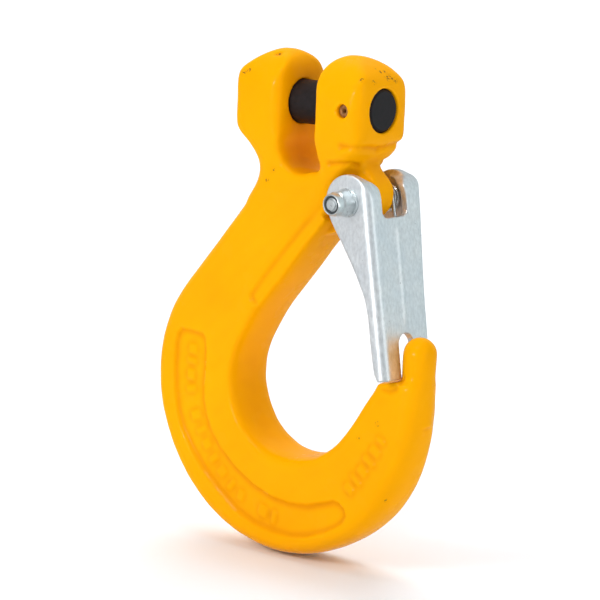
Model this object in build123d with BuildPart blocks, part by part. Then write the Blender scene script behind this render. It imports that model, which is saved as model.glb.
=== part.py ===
from build123d import *
import math
import os

# Clevis sling hook with a sprung safety latch, for 10 mm chain.  Millimetres.
# Origin: middle of the load pin.  +X runs along the load pin towards the side
# the latch is on, +Z is up the chain, Y is the thickness.

os.makedirs("parts", exist_ok=True)

# Outlines in X and Z are drawn on a plane parallel to XZ; its normal is -Y, so
# a negative offset lies at +Y and a positive extrusion runs towards -Y.
CUT_HALF = 20.0
BACK = Plane.XZ.offset(-CUT_HALF)
THROUGH = 2 * CUT_HALF

# --- clevis head and load pin ---
EAR_HALF = 24.2          # outer faces of the two ears, along the load pin
EAR_Q = 11.5             # half thickness of the ears
EAR_CORNER = 2.2         # vertical corner rounding of the ears
EAR_BASE_Z = -8.0
EAR_HEIGHT = 26          # before the crown is cut
GAP_HALF = 6.4           # half the gap that takes the chain link
GAP_MID_Z = 10           # centre height of the straight part of the gap
SLOT_R = 7.1             # rounded bottom of the gap
SLOT_Z = -13.3           # centre height of that rounding
SCOOP = (5.6, -17.0)     # small round cut at the +X side of the gap's bottom
SCOOP_R = 2.4
PIN_R = 6.5
PIN_BORE_R = 6.55
PIN_LEN = 48.0
PIN_CHAMFER = 0.9
RET_R = 2.0              # spring pin that keeps the load pin in
RET_BORE_R = RET_R + 0.01
RET_WALL = 0.75
RET_X = 17.6
RET_HALF = 10.4
RET_SLIT = (1.4, 0.5)    # slit through the wall, on the +X side
RET_SLIT_DX = 1.6

# --- hook ---
BOWL_Q = 9.0             # half thickness of the bowl
PANEL_DEPTH = 0.6        # crescent recess on both faces of the bowl
PANEL_START = 12         # y where the panel cut starts
RECESS_Y = 8.5           # half thickness where the latch cheeks pass the shank
RECESS_START = 14        # y where the relief cut starts
RECESS_R = 8.8           # relief about the latch pivot

# --- finger the latch closes on ---
FINGER_R = 4.95
FINGER_FOOT = (40.4, 0, -90)
FINGER_AXIS = (0.028, 0, 1)
FINGER_LEN = 21.0
DOME_CENTRE = (40.99, 0, -69.0)
NOSE_HALF = 3.1          # part of the finger that stands in the saddle slot
NOSE_CENTRE = (45.4, 0, -67.2)
NOSE_BLOCK = 20          # length and height of the block left standing
SEAT_R = 53.35           # radius about the latch pivot of the floor the prongs drop to

# --- latch ---
PIVOT_X, PIVOT_Z = PIVOT = (21.1, -26.1)
CHEEK_R = 8.1            # round end of the cheeks about the pivot
SHEET = 2.3
WIDTH_TOP = 11.6         # outer half width at the pivot
WIDTH_LOW = 11.0         # outer half width at the lower end
FOLD_R = 2.7             # outside of the folds
FOLD_INNER_R = 0.7
DOWN_X, DOWN_Z = 0.159, -0.9873       # direction down the web
OUT_X, OUT_Z = -DOWN_Z, DOWN_X        # outward from the web
WEB_X = PIVOT_X + OUT_X * CHEEK_R     # outer face of the web, level with the pivot
WEB_Z = PIVOT_Z + OUT_Z * CHEEK_R
WEB_TOP = -4.0
WEB_END = 52.4           # down to the ends of the prongs
PRONG_DEPTH = 3.2        # depth of the prong ends, inward from the web's outer face
OUTLINE_ROUND = 1.6
NOTCH_HALF = 5.7
NOTCH_FLOOR = -7.2
NOTCH_ROUND = 2.2
NOTCH_DEPTH = 12
SADDLE_HALF = 3.35
SADDLE_TOP = -39.4       # upper end of the saddle slot
SADDLE_LEN = 30
SADDLE_DEPTH = 9
CUT_CLEAR = 3            # web cuts start this far outside the web
LUG_HALF = 4.0

# --- pivot bolt, washers and nut ---
BOLT_R = 2.0
BOLT_BORE_R = 2.05
BOLT_STICKOUT = 0.2      # past the end of the nut
BOLT_CHAMFER = 0.4
HEX_HALF = 3.5           # half the width across flats of head and nut
HEAD_H = 2.8
WASHER_T = 0.8
WASHER_R = 4.2
WASHER_BORE_R = 2.1
CLAMP_Y = WIDTH_TOP + WASHER_T        # outer faces of the washers
NUT_H = 6.6
NUT_HEX_H = 4.3
NUT_TURN = 20            # degrees
NUT_COLLAR_R = 3.3
NUT_CHAMFER = 0.5
NUT_BORE_R = BOLT_R + 0.005
MOUTH_R = 2.4            # opening at the free end of the nut
MOUTH_DEPTH = 0.5
RING_R = 2.75            # nylon ring
RING_H = 1.7
RING_Y = CLAMP_Y + NUT_H - 0.3        # distance of its outer face from the middle

# --- spring ---
WIRE_R = 0.6
COIL_R = 3.6
COIL_IN = 4.75           # y where each coil starts
PITCH = 1.32
WHOLE_TURNS = 2
LEG_ANGLE = math.radians(163)
LEG_LEN = 9.3
BRIDGE_OUT = CHEEK_R - SHEET - WIRE_R - 0.03   # outward from the pivot
BRIDGE_DOWN = 15.5                             # down the web from the pivot
BEND_R = 1.6

# Stations down the shank, round the bowl and up the tip:
# outer x, outer z, inner x, inner z, half thickness, outer rounding, inner rounding
STATIONS = [
    (-10.2, -15.7, 11.0, -33.2, 9.25, 5.0, 2.4),
    (-15.3, -21.9, 5.9, -39.4, 9.25, 5.0, 2.4),
    (-21.7, -29.6, -0.5, -47.1, 9.25, 5.0, 2.4),
    (-29.3, -38.8, -8.1, -56.3, 9.25, 5.0, 2.4),
    (-37.1, -48.1, -15.4, -65.4, 9.2, 5.0, 2.4),
    (-43.4, -55.4, -19.2, -71.6, 9.1, 5.0, 2.4),
    (-49.4, -63.1, -21.7, -76.4, 9.0, 5.0, 2.4),
    (-53.6, -71.3, -23.1, -80.8, 9.0, 5.0, 2.4),
    (-55.8, -79.6, -23.5, -84.4, 9.0, 5.0, 2.4),
    (-56.4, -87.6, -23.4, -87.6, 9.0, 5.0, 2.4),
    (-55.5, -96.2, -22.5, -91.4, 9.0, 5.0, 2.4),
    (-52.6, -105.2, -20.8, -95.4, 9.0, 5.0, 2.4),
    (-47.3, -114.9, -18.0, -99.5, 9.0, 5.0, 2.4),
    (-39.3, -124.0, -14.0, -102.8, 9.0, 5.0, 2.4),
    (-28.9, -131.2, -9.2, -105.1, 9.0, 5.0, 2.4),
    (-16.8, -135.6, -4.2, -106.0, 9.0, 5.0, 2.4),
    (-5.0, -136.9, 0.6, -105.9, 9.0, 5.0, 2.4),
    (6.5, -135.2, 5.4, -105.0, 9.0, 5.0, 2.4),
    (17.5, -130.6, 9.9, -103.2, 9.0, 5.0, 2.4),
    (26.8, -124.3, 13.8, -100.7, 8.9, 5.0, 2.4),
    (34.3, -116.4, 17.2, -97.6, 8.7, 5.1, 2.3),
    (39.5, -107.6, 20.4, -93.6, 8.3, 5.2, 2.2),
    (42.8, -98.2, 23.4, -89.0, 7.8, 5.5, 2.1),
    (44.5, -89.6, 26.3, -84.3, 7.2, 6.0, 2.0),
    (45.3, -79.4, 29.4, -79.2, 6.7, 6.2, 1.8),
]
TIP_END = (45.6, -77.0, 31.2, -77.2, 6.6, 6.2, 1.8)

# Neck between the ears and the shank: z, min x, max x, half thickness, corner radius
NECK = [
    (-7.6, -24.2, 24.2, 11.5, 2.2),
    (-10.4, -22.5, 23.3, 11.3, 2.8),
    (-13.0, -20.2, 21.8, 10.7, 3.6),
    (-16.0, -18.5, 19.4, 9.9, 4.4),
    (-20.0, -17.5, 16.0, 9.3, 5.0),
    (-25.0, -18.7, 14.2, 9.25, 5.0),
    (-30.5, -22.2, 11.5, 9.2, 5.0),
    (-36.0, -25.6, 7.2, 8.7, 5.0),
]

# Crowns of the -X and +X ears (x, z), and the crown seen along X (y, z)
CROWN_LEFT = [
    (-24.2, 8.4), (-22.9, 9.9), (-18.2, 13.6), (-14.2, 15.6), (-10.6, 15.3), (-7.8, 13.5),
    (-6.2, 9.6),
]
CROWN_RIGHT = [
    (6.2, 9.6), (7.8, 13.5), (10.6, 15.3), (14.2, 15.6), (18.2, 13.9), (22.9, 10.2),
    (24.2, 8.4),
]
CROWN_SIDE = [
    (-11.5, 4.0), (-11.1, 6.7), (-8.9, 10.5), (-5.2, 13.8), (0, 15.4),
    (5.2, 13.8), (8.9, 10.5), (11.1, 6.7), (11.5, 4.0),
]

# Round end of the lug, and its underside (x, z)
LUG_END = [
    (20.4, -15.4), (22.4, -18.0), (25.1, -21.0), (26.2, -23.6), (26.3, -26.1),
    (25.0, -29.3), (21.1, -31.3),
]
LUG_UNDERSIDE = [(21.1, -31.3), (16, -32.8), (11.0, -36.6)]

# Crescent panel: outer edge, tip end, inner edge and shank end (x, z)
PANEL_EDGES = [
    [(-44.9, -73.1), (-47.0, -80.0), (-47.2, -90.0), (-45.4, -101.0), (-40.6, -112.0),
     (-31.0, -122.0), (-16.0, -128.6), (0.0, -130.4), (13.0, -127.0), (20.4, -121.0)],
    [(20.4, -121.0), (21.2, -118.0), (18.4, -115.6)],
    [(18.4, -115.6), (7.0, -116.9), (-6.1, -115.2), (-18.5, -109.0), (-28.6, -99.8),
     (-34.2, -86.0), (-35.2, -76.6)],
    [(-35.2, -76.6), (-36.2, -74.2), (-38.6, -73.3)],
]

# Free edge of the latch cheeks, from the pivot end down (x, z)
CHEEK_EDGE = [
    (13.9, -29.8), (15.0, -32.0), (17.7, -35.9), (20.9, -40.6), (23.6, -44.6), (26.8, -50.0),
    (28.5, -53.4), (29.6, -57.0), (30.8, -64.0), (31.9, -70.0), (32.9, -74.8),
]


# ---------------------------------------------------------------------------
# hook body: lofted forging
# ---------------------------------------------------------------------------
def corner_points(half_thick, rounding, power, steps=7):
    """Superellipse corner from the nose (y = 0) to the flat (y = half_thick)."""
    points = []
    for i in range(steps + 1):
        f = math.sin(math.pi / 2 * i / steps)
        points.append((rounding * (1 - math.sqrt(max(0.0, 1 - f ** power))), half_thick * f))
    points[-1] = (rounding, half_thick)
    return points


def section(outer_x, outer_z, inner_x, inner_z, half_thick, outer_round, inner_round):
    """Closed outline square to the line from the outer to the inner point."""
    width = math.hypot(outer_x - inner_x, outer_z - inner_z)
    dir_x, dir_z = (outer_x - inner_x) / width, (outer_z - inner_z) / width
    plane = Plane(
        origin=((outer_x + inner_x) / 2, 0, (outer_z + inner_z) / 2),
        x_dir=(dir_x, 0, dir_z),
        z_dir=(-dir_z, 0, dir_x),
    )
    inner = corner_points(half_thick, inner_round, 3.0)
    outer = corner_points(half_thick, outer_round, 2.6)
    h, q = width / 2, half_thick
    with BuildSketch(plane) as outline:
        with BuildLine():
            Spline(*[(-h + x, -y) for x, y in inner], tangents=[(0, -1), (1, 0)])
            Line((-h + inner_round, -q), (h - outer_round, -q))
            Spline(*[(h - x, -y) for x, y in reversed(outer)], tangents=[(1, 0), (0, 1)])
            Spline(*[(h - x, y) for x, y in outer], tangents=[(0, 1), (-1, 0)])
            Line((h - outer_round, q), (-h + inner_round, q))
            Spline(*[(-h + x, y) for x, y in reversed(inner)], tangents=[(-1, 0), (0, -1)])
        make_face()
    return outline.sketch


def tip_end():
    """Last step of the tip, up to the seat."""
    with BuildPart() as tip:
        add(section(*STATIONS[-1]))
        add(section(*TIP_END))
        loft(ruled=True)
    return tip.part


def crown_cut():
    """Everything above the rounded crown of the ears."""
    with BuildPart() as cut:
        # seen along Y
        with BuildSketch(BACK):
            with BuildLine():
                Polyline((0, 30), (-30, 30), (-30, 8.4), CROWN_LEFT[0])
                Spline(*CROWN_LEFT)
                Line(CROWN_LEFT[-1], (0, 5))
                Line((0, 5), CROWN_RIGHT[0])
                Spline(*CROWN_RIGHT)
                Polyline(CROWN_RIGHT[-1], (30, 8.4), (30, 30), (0, 30))
            make_face()
        extrude(amount=THROUGH)
        # seen along X
        with BuildSketch(Plane.YZ.offset(-30)):
            with BuildLine():
                Polyline((0, 30), (-14, 30), (-14, 4.0), CROWN_SIDE[0])
                Spline(*CROWN_SIDE, tangents=[(0, 1), (0, -1)])
                Polyline(CROWN_SIDE[-1], (14, 4.0), (14, 30), (0, 30))
            make_face()
        extrude(amount=60)
    return cut.part


def finger():
    """Round finger with a domed top."""
    with BuildPart() as post:
        with BuildSketch(Plane(origin=FINGER_FOOT, x_dir=(1, 0, 0), z_dir=FINGER_AXIS)):
            Circle(FINGER_R)
        extrude(amount=FINGER_LEN)
        with Locations(DOME_CENTRE):
            Sphere(FINGER_R)
    return post.part


def lug():
    """Lug that carries the latch pivot, with a ridge up to the +X ear."""
    with BuildPart() as plate:
        with BuildSketch(Plane.XZ.offset(-LUG_HALF)):
            with BuildLine():
                Polyline((8, -14), (18.5, -12.5), LUG_END[0])
                Spline(*LUG_END, tangents=[(0.6, -0.8), (-1, 0.1)])
                Spline(*LUG_UNDERSIDE, tangents=[(-1, 0.1), (-0.7, -0.7)])
                Line(LUG_UNDERSIDE[-1], (2.0, -40.0))
                Line((2.0, -40.0), (8, -14))
            make_face()
        extrude(amount=2 * LUG_HALF)
    return plate.part


def lug_taper():
    """Slices off both sides of the lug's free end."""
    with BuildPart() as cut:
        with BuildSketch(Plane.YZ.offset(16.5)):
            with BuildLine():
                Polyline((LUG_HALF, -20.5), (2.5, -31.5), (2.5, -34.0),
                         (LUG_HALF + 1.0, -34.0), (LUG_HALF + 1.0, -20.5), (LUG_HALF, -20.5))
            make_face()
        extrude(amount=12)
        mirror(about=Plane.XZ)
    return cut.part


def seat_floor(x):
    return (x, PIVOT_Z - math.sqrt(SEAT_R ** 2 - (x - PIVOT_X) ** 2))


def seat_cut():
    """Scoop the two prongs drop into; its floor follows the path of their ends."""
    start, middle, end = seat_floor(24.0), seat_floor(31.0), seat_floor(37.75)
    with BuildPart() as cut:
        with BuildSketch(BACK):
            with BuildLine():
                ThreePointArc(start, middle, end)
                Polyline(end, (37.35, -73.0), (35.65, -63.0), (24.0, -63.0), start)
            make_face()
        extrude(amount=THROUGH)
        # the nose of the finger stands in the slot between the prongs
        with Locations(NOSE_CENTRE):
            Box(NOSE_BLOCK, 2 * NOSE_HALF, NOSE_BLOCK, mode=Mode.SUBTRACT)
    return cut.part


def cheek_recess():
    """Relief on both faces, so the cheeks pass the shank when the latch opens."""
    with BuildPart() as cut:
        with BuildSketch(Plane.XZ.offset(-RECESS_START)):
            with BuildLine():
                Polyline((9.2, -30.3), (-16.8, -57.7), (-9.5, -65.0), (40, -65.0),
                         (40, -26.1), (9.0, -26.1), (9.2, -30.3))
            make_face()
            with Locations(PIVOT):
                Circle(RECESS_R)
        extrude(amount=RECESS_START - RECESS_Y)
        mirror(about=Plane.XZ)
    return cut.part


def panel_cut():
    """Crescent panels on both faces of the bowl."""
    with BuildPart() as cut:
        with BuildSketch(Plane.XZ.offset(-PANEL_START)):
            with BuildLine():
                for edge_points in PANEL_EDGES:
                    Spline(*edge_points)
                Line(PANEL_EDGES[-1][-1], PANEL_EDGES[0][0])
            make_face()
        extrude(amount=PANEL_START - (BOWL_Q - PANEL_DEPTH))
        mirror(about=Plane.XZ)
    return cut.part


def hook_body():
    # in the order they are applied once the forging stands
    features = [
        (crown_cut(), Mode.SUBTRACT),
        (tip_end(), Mode.ADD),
        (finger(), Mode.ADD),
        (lug(), Mode.ADD),
        (lug_taper(), Mode.SUBTRACT),
        (seat_cut(), Mode.SUBTRACT),
        (cheek_recess(), Mode.SUBTRACT),
        (panel_cut(), Mode.SUBTRACT),
    ]
    with BuildPart() as body:
        # shank, bowl and tip
        for station in STATIONS:
            add(section(*station))
        loft()
        # neck
        for z, x_min, x_max, half_thick, corner in NECK:
            with BuildSketch(Plane.XY.offset(z)):
                with Locations(((x_min + x_max) / 2, 0)):
                    RectangleRounded(x_max - x_min, 2 * half_thick, corner)
        loft()
        # ears
        with BuildSketch(Plane.XY.offset(EAR_BASE_Z)):
            RectangleRounded(2 * EAR_HALF, 2 * EAR_Q, EAR_CORNER)
        extrude(amount=EAR_HEIGHT)

        for feature, mode in features:
            add(feature, mode=mode)

        # gap for the chain link, with a round bottom
        with BuildSketch(BACK):
            with Locations((0, GAP_MID_Z)):
                Rectangle(2 * GAP_HALF, 2 * (GAP_MID_Z - SLOT_Z))
            with Locations((0, SLOT_Z)):
                Circle(SLOT_R)
            with Locations(SCOOP):
                Circle(SCOOP_R)
        extrude(amount=THROUGH, mode=Mode.SUBTRACT)
        # load pin bore
        with BuildSketch(Plane.YZ.offset(-30)):
            Circle(PIN_BORE_R)
        extrude(amount=60, mode=Mode.SUBTRACT)
        # cross hole for the spring pin, then the latch pivot bore
        for centre, radius in (((RET_X, 0), RET_BORE_R), (PIVOT, BOLT_BORE_R)):
            with BuildSketch(BACK):
                with Locations(centre):
                    Circle(radius)
            extrude(amount=THROUGH, mode=Mode.SUBTRACT)
    return body.part


# ---------------------------------------------------------------------------
# load pin along X, and the slotted spring pin along Y that locks it
# ---------------------------------------------------------------------------
def load_pin():
    with BuildPart() as pin:
        with BuildSketch(Plane.YZ.offset(-PIN_LEN / 2)):
            Circle(PIN_R)
        extrude(amount=PIN_LEN)
        chamfer(pin.edges().filter_by(GeomType.CIRCLE), length=PIN_CHAMFER)
        with BuildSketch(BACK):
            with Locations((RET_X, 0)):
                Circle(RET_BORE_R)
        extrude(amount=THROUGH, mode=Mode.SUBTRACT)
    return pin.part


def load_pin_retainer():
    with BuildPart() as pin:
        with BuildSketch(Plane.XZ.offset(-RET_HALF)):
            with Locations((RET_X, 0)):
                Circle(RET_R)
                Circle(RET_R - RET_WALL, mode=Mode.SUBTRACT)
            with Locations((RET_X + RET_SLIT_DX, 0)):
                Rectangle(*RET_SLIT, mode=Mode.SUBTRACT)
        extrude(amount=2 * RET_HALF)
    return pin.part


# ---------------------------------------------------------------------------
# latch: folded channel
# ---------------------------------------------------------------------------
def web(inward, down):
    """(x, z) at a distance inward from the web's outer face and down the web."""
    return (WEB_X - OUT_X * inward + DOWN_X * down, WEB_Z - OUT_Z * inward + DOWN_Z * down)


def web_offset(point):
    """Distance outward from the web's outer face."""
    return (point.X - WEB_X) * OUT_X + (point.Z - WEB_Z) * OUT_Z


def is_outer_fold(edge):
    middle = edge @ 0.5
    return edge.length > 20 and abs(middle.Y) > 10.5 and abs(web_offset(middle)) < 0.05


def is_inner_fold(edge):
    middle = edge @ 0.5
    return (edge.length > 20 and 8.4 < abs(middle.Y) < 9.6
            and abs(web_offset(middle) + SHEET) < 0.05)


def channel_outline(inset, top_z):
    """Side taper of the channel (y, z), moved inward by inset."""
    upper, lower = WIDTH_TOP - inset, WIDTH_LOW - inset
    return [(-upper, top_z), (upper, top_z), (upper, -30), (lower, -82),
            (-lower, -82), (-upper, -30), (-upper, top_z)]


def latch_hollow():
    """Inside of the channel."""
    with BuildPart() as hollow:
        with BuildSketch(BACK):
            with BuildLine():
                Polyline(web(SHEET, 0), web(SHEET, 70), web(60, 70), web(60, -30),
                         web(CHEEK_R, -30), web(CHEEK_R, 0), web(SHEET, 0))
            make_face()
            with Locations(PIVOT):
                Circle(CHEEK_R - SHEET)
        extrude(amount=THROUGH)
        with BuildSketch(Plane.YZ.offset(-60)):
            with BuildLine():
                Polyline(*channel_outline(SHEET, 10))
            make_face()
        extrude(amount=140, mode=Mode.INTERSECT)
        fillet(hollow.edges().filter_by(is_inner_fold), radius=FOLD_INNER_R)
    return hollow.part


def latch_plate():
    hollow = latch_hollow()
    prong_x, prong_z = web(PRONG_DEPTH, WEB_END)
    # local x = Y, local y = up the web
    web_cut_plane = Plane(
        origin=(WEB_X, 0, WEB_Z), x_dir=(0, 1, 0), z_dir=(OUT_X, 0, OUT_Z)
    ).offset(CUT_CLEAR)
    flare_x, flare_y = NOTCH_HALF + 3.55, 6.4

    with BuildPart() as plate:
        with BuildSketch(BACK) as outline:
            with BuildLine():
                Spline(*CHEEK_EDGE)
                Polyline(CHEEK_EDGE[-1], (prong_x, prong_z), web(0, WEB_END),
                         web(0, WEB_TOP), web(3.0, WEB_TOP - 1.2), PIVOT, CHEEK_EDGE[0])
            make_face()
            # this point decides which corner of the outline is rounded
            fillet(outline.vertices().sort_by_distance((prong_x, 20, prong_z))[0],
                   radius=OUTLINE_ROUND)
            with Locations(PIVOT):
                Circle(CHEEK_R)
        extrude(amount=THROUGH)
        with BuildSketch(Plane.YZ.offset(-5)):
            with BuildLine():
                Polyline(*channel_outline(0, -10))
            make_face()
        extrude(amount=60, mode=Mode.INTERSECT)
        fillet(plate.edges().filter_by(is_outer_fold), radius=FOLD_R)

        # above the pivot the web follows the round end of the cheeks
        with BuildSketch(BACK):
            with BuildLine():
                Polyline(web(-3, 0), web(-3, -15), web(CHEEK_R, -15), web(CHEEK_R, 0),
                         web(-3, 0))
            make_face()
            with Locations(PIVOT):
                Circle(CHEEK_R, mode=Mode.SUBTRACT)
        extrude(amount=THROUGH, mode=Mode.SUBTRACT)

        add(hollow, mode=Mode.SUBTRACT)

        # notch at the top of the web, clear of the lug, flared where it meets the cheeks
        with BuildSketch(web_cut_plane) as notch:
            with BuildLine():
                Line((-NOTCH_HALF, NOTCH_FLOOR), (NOTCH_HALF, NOTCH_FLOOR))
                Line((NOTCH_HALF, NOTCH_FLOOR), (NOTCH_HALF, 2.6))
                Spline((NOTCH_HALF, 2.6), (NOTCH_HALF + 0.9, 4.6), (flare_x, flare_y),
                       tangents=[(0, 1), (1, 0.45)])
                Polyline((flare_x, flare_y), (flare_x, 20), (-flare_x, 20), (-flare_x, flare_y))
                Spline((-flare_x, flare_y), (-NOTCH_HALF - 0.9, 4.6), (-NOTCH_HALF, 2.6),
                       tangents=[(1, -0.45), (0, -1)])
                Line((-NOTCH_HALF, 2.6), (-NOTCH_HALF, NOTCH_FLOOR))
            make_face()
            fillet(notch.vertices().group_by(Axis.Z)[0], radius=NOTCH_ROUND)
        extrude(amount=-NOTCH_DEPTH, mode=Mode.SUBTRACT)
        # saddle slot between the prongs
        with BuildSketch(web_cut_plane):
            with Locations((0, SADDLE_TOP - SADDLE_HALF)):
                Circle(SADDLE_HALF)
            with Locations((0, SADDLE_TOP - SADDLE_HALF - SADDLE_LEN / 2)):
                Rectangle(2 * SADDLE_HALF, SADDLE_LEN)
        extrude(amount=-SADDLE_DEPTH, mode=Mode.SUBTRACT)
        # pivot holes
        with BuildSketch(BACK):
            with Locations(PIVOT):
                Circle(BOLT_BORE_R)
        extrude(amount=THROUGH, mode=Mode.SUBTRACT)
    return plate.part


# ---------------------------------------------------------------------------
# pivot bolt, washers and locking nut, along Y; the nut is at the -Y end
# ---------------------------------------------------------------------------
def latch_bolt():
    with BuildPart() as bolt:
        with BuildSketch(Plane.XZ.offset(-CLAMP_Y)):
            with Locations(PIVOT):
                Circle(BOLT_R)
        extrude(amount=2 * CLAMP_Y + NUT_H + BOLT_STICKOUT)
        chamfer(bolt.edges().filter_by(GeomType.CIRCLE).sort_by(Axis.Y)[0],
                length=BOLT_CHAMFER)
        with BuildSketch(Plane.XZ.offset(-(CLAMP_Y + HEAD_H))):
            with Locations(PIVOT):
                RegularPolygon(radius=HEX_HALF, side_count=6, major_radius=False)
        extrude(amount=HEAD_H)
    return bolt.part


def latch_washer():
    """Both washers."""
    with BuildPart() as washers:
        with BuildSketch(Plane.XZ.offset(-CLAMP_Y)):
            with Locations(PIVOT):
                Circle(WASHER_R)
                Circle(WASHER_BORE_R, mode=Mode.SUBTRACT)
        extrude(amount=WASHER_T)
        mirror(about=Plane.XZ)
    return washers.part


def latch_nut():
    # round cuts: plane offset, radius, extrusion
    cuts = [
        (RING_Y, RING_R, -RING_H),                    # seat of the nylon ring
        (CLAMP_Y - 1, NUT_BORE_R, 12),                # bore
        (CLAMP_Y + NUT_H, MOUTH_R, -MOUTH_DEPTH),     # mouth
    ]
    with BuildPart() as nut:
        with BuildSketch(Plane.XZ.offset(CLAMP_Y)):
            with Locations(PIVOT):
                RegularPolygon(radius=HEX_HALF, side_count=6, major_radius=False,
                               rotation=NUT_TURN)
        extrude(amount=NUT_HEX_H)
        with BuildSketch(Plane.XZ.offset(CLAMP_Y + NUT_HEX_H)):
            with Locations(PIVOT):
                Circle(NUT_COLLAR_R)
        extrude(amount=NUT_H - NUT_HEX_H)
        chamfer(nut.edges().filter_by(GeomType.CIRCLE).sort_by(Axis.Y)[0], length=NUT_CHAMFER)
        for offset, radius, amount in cuts:
            with BuildSketch(Plane.XZ.offset(offset)):
                with Locations(PIVOT):
                    Circle(radius)
            extrude(amount=amount, mode=Mode.SUBTRACT)
    return nut.part


def latch_nut_insert():
    with BuildPart() as ring:
        with BuildSketch(Plane.XZ.offset(RING_Y)):
            with Locations(PIVOT):
                Circle(RING_R)
                Circle(NUT_BORE_R, mode=Mode.SUBTRACT)
        extrude(amount=-RING_H)
    return ring.part


# ---------------------------------------------------------------------------
# latch spring: two coils either side of the lug, a bridge that pushes on the
# web from inside, and two free ends that push on the neck of the hook
# ---------------------------------------------------------------------------
def latch_vector(out, down, y):
    """Vector from components outward from the web, down the web and along Y."""
    return Vector(OUT_X * out + DOWN_X * down, y, OUT_Z * out + DOWN_Z * down)


def latch_spring():
    pivot = Vector(PIVOT_X, 0, PIVOT_Z)
    rise = math.atan(PITCH / (2 * math.pi * COIL_R))      # slope of the helix
    reach = math.hypot(BRIDGE_OUT, BRIDGE_DOWN)
    start_angle = math.atan2(BRIDGE_DOWN, BRIDGE_OUT) - math.acos(COIL_R / reach)
    turn = start_angle + LEG_ANGLE + WHOLE_TURNS * 2 * math.pi
    coil_len = PITCH * turn / (2 * math.pi)

    def tangent(angle, y, scale=math.cos(rise)):
        # direction of the wire that leaves the coil at this angle
        return latch_vector(math.sin(angle) * scale, -math.cos(angle) * scale, y)

    # arm from the bend to the coil: seen along Y, then along its own slope
    flat_arm = math.sqrt(reach ** 2 - COIL_R ** 2)
    arm = (flat_arm - BEND_R * (1 - math.sin(rise))) / math.cos(rise)
    bridge_y = COIL_IN - BEND_R * math.cos(rise) - arm * math.sin(rise)

    coil = Edge.make_helix(PITCH, coil_len, COIL_R, lefthand=True)
    radial = latch_vector(math.cos(start_angle), math.sin(start_angle), 0)
    coil_plane = Plane(origin=(PIVOT_X, COIL_IN, PIVOT_Z), x_dir=radial, z_dir=(0, 1, 0))
    coil = coil.moved(coil_plane.location)

    bridge_mid = pivot + latch_vector(BRIDGE_OUT, BRIDGE_DOWN, 0)
    bridge_end = pivot + latch_vector(BRIDGE_OUT, BRIDGE_DOWN, bridge_y)
    bend_angle = math.radians(45) - rise / 2
    bend_dir = tangent(start_angle, 0, scale=1)
    bend_centre = bridge_end + bend_dir * BEND_R
    bend_mid = (bend_centre - bend_dir * (BEND_R * math.cos(bend_angle))
                + Vector(0, BEND_R * math.sin(bend_angle), 0))
    arm_start = coil @ 0 - tangent(start_angle, math.sin(rise)) * arm
    leg_end = coil @ 1 + tangent(-LEG_ANGLE, math.sin(rise)) * LEG_LEN

    with BuildPart() as spring:
        with BuildLine():
            Line(bridge_mid, bridge_end)
            ThreePointArc(bridge_end, bend_mid, arm_start)
            Line(arm_start, coil @ 0)
            add(coil)
            Line(coil @ 1, leg_end)
        with BuildSketch(Plane(origin=bridge_mid, z_dir=(0, 1, 0))):
            Circle(WIRE_R)
        sweep()
        mirror(about=Plane.XZ)
    return spring.part


for build in (hook_body, load_pin, load_pin_retainer, latch_plate, latch_bolt,
              latch_washer, latch_nut, latch_nut_insert, latch_spring):
    piece = build()
    piece.label = build.__name__
    export_step(piece, f"parts/{build.__name__}.step")
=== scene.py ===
"""Lifting hook: a yellow forged clevis hook with a sprung sheet-metal latch.

The hook lies in the XZ plane and hangs down -Z, with its shank at -x, its tip at +x and its
thickness along y. Front means -y, right means +x. The load pin runs along x through the origin.
The latch pivots on a bolt along y. Geometry is in millimetres; lamps are placed in metres.
"""

import bpy
import bmesh
import math
import numpy as np
from mathutils import Matrix, Vector


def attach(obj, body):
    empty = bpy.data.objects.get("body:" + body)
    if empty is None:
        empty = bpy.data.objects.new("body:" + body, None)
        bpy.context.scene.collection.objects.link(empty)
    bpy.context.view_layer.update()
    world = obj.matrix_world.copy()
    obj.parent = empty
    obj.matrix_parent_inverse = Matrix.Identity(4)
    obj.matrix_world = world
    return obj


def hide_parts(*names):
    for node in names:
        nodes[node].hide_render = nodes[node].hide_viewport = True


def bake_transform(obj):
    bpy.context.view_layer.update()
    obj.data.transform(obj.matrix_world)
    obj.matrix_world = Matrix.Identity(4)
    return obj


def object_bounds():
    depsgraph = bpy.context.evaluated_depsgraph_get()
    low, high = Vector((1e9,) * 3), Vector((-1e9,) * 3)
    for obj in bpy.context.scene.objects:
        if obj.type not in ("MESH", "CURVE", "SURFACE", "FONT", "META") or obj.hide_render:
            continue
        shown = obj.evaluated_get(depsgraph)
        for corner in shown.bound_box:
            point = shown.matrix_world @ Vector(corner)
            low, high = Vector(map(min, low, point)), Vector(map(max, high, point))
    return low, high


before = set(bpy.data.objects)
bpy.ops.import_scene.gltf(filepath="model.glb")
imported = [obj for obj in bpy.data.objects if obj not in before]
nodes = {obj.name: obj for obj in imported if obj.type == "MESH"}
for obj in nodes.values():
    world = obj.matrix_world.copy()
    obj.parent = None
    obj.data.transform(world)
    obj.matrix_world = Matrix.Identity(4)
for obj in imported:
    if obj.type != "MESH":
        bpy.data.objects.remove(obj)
cad_lo, cad_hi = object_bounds()
MM = 0.001

# hook head
EAR_X = 24.2           # outer faces of the two ears
SLOT_X = 6.4           # inner faces of the ears, either side of the slot
EAR_Y = 11.5           # half thickness of the ears
CROSS_PIN_X = 17.6     # cross pin along y, at z = 0

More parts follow.
